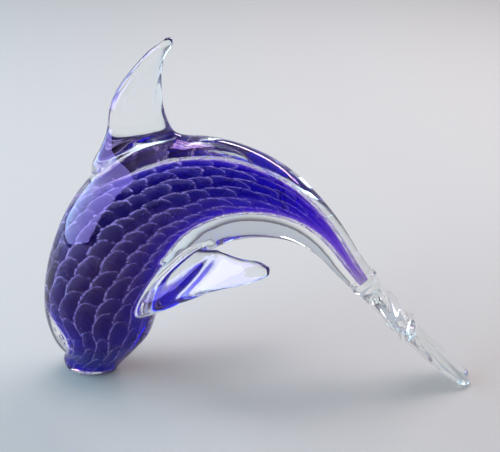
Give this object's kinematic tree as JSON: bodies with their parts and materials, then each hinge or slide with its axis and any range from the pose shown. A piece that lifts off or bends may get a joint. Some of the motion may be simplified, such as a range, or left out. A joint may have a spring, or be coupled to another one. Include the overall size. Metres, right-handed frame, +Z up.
{
  "type": "figurine",
  "caption": "Solid crystal glass dolphin that stands on its beak and tail, with a scale-moulded cobalt core in a clear jacket and clear fins and flukes.",
  "frame": {"origin": "middle of the flat ground on the beak, which stands on the table", "axes": "+Z up, +X from the beak to the tail, the figure's left side faces -Y"},
  "size_m": [0.2002, 0.0746, 0.1626],
  "materials": {
    "cobalt_glass": "deep cobalt violet glass, solid",
    "scale_glass": "thin cobalt glass with milky lavender scale edges",
    "clear_glass": "clear crystal, fire polished"
  },
  "bodies": {
    "root": {"cobalt_core": "cobalt_glass", "scale_skin": "scale_glass", "clear_jacket": "clear_glass", "dorsal_fin": "clear_glass", "left_pectoral_fin": "clear_glass", "right_pectoral_fin": "clear_glass", "tail_paddle": "clear_glass", "left_fluke": "clear_glass", "right_fluke": "clear_glass"}
  },
  "joints": []
}
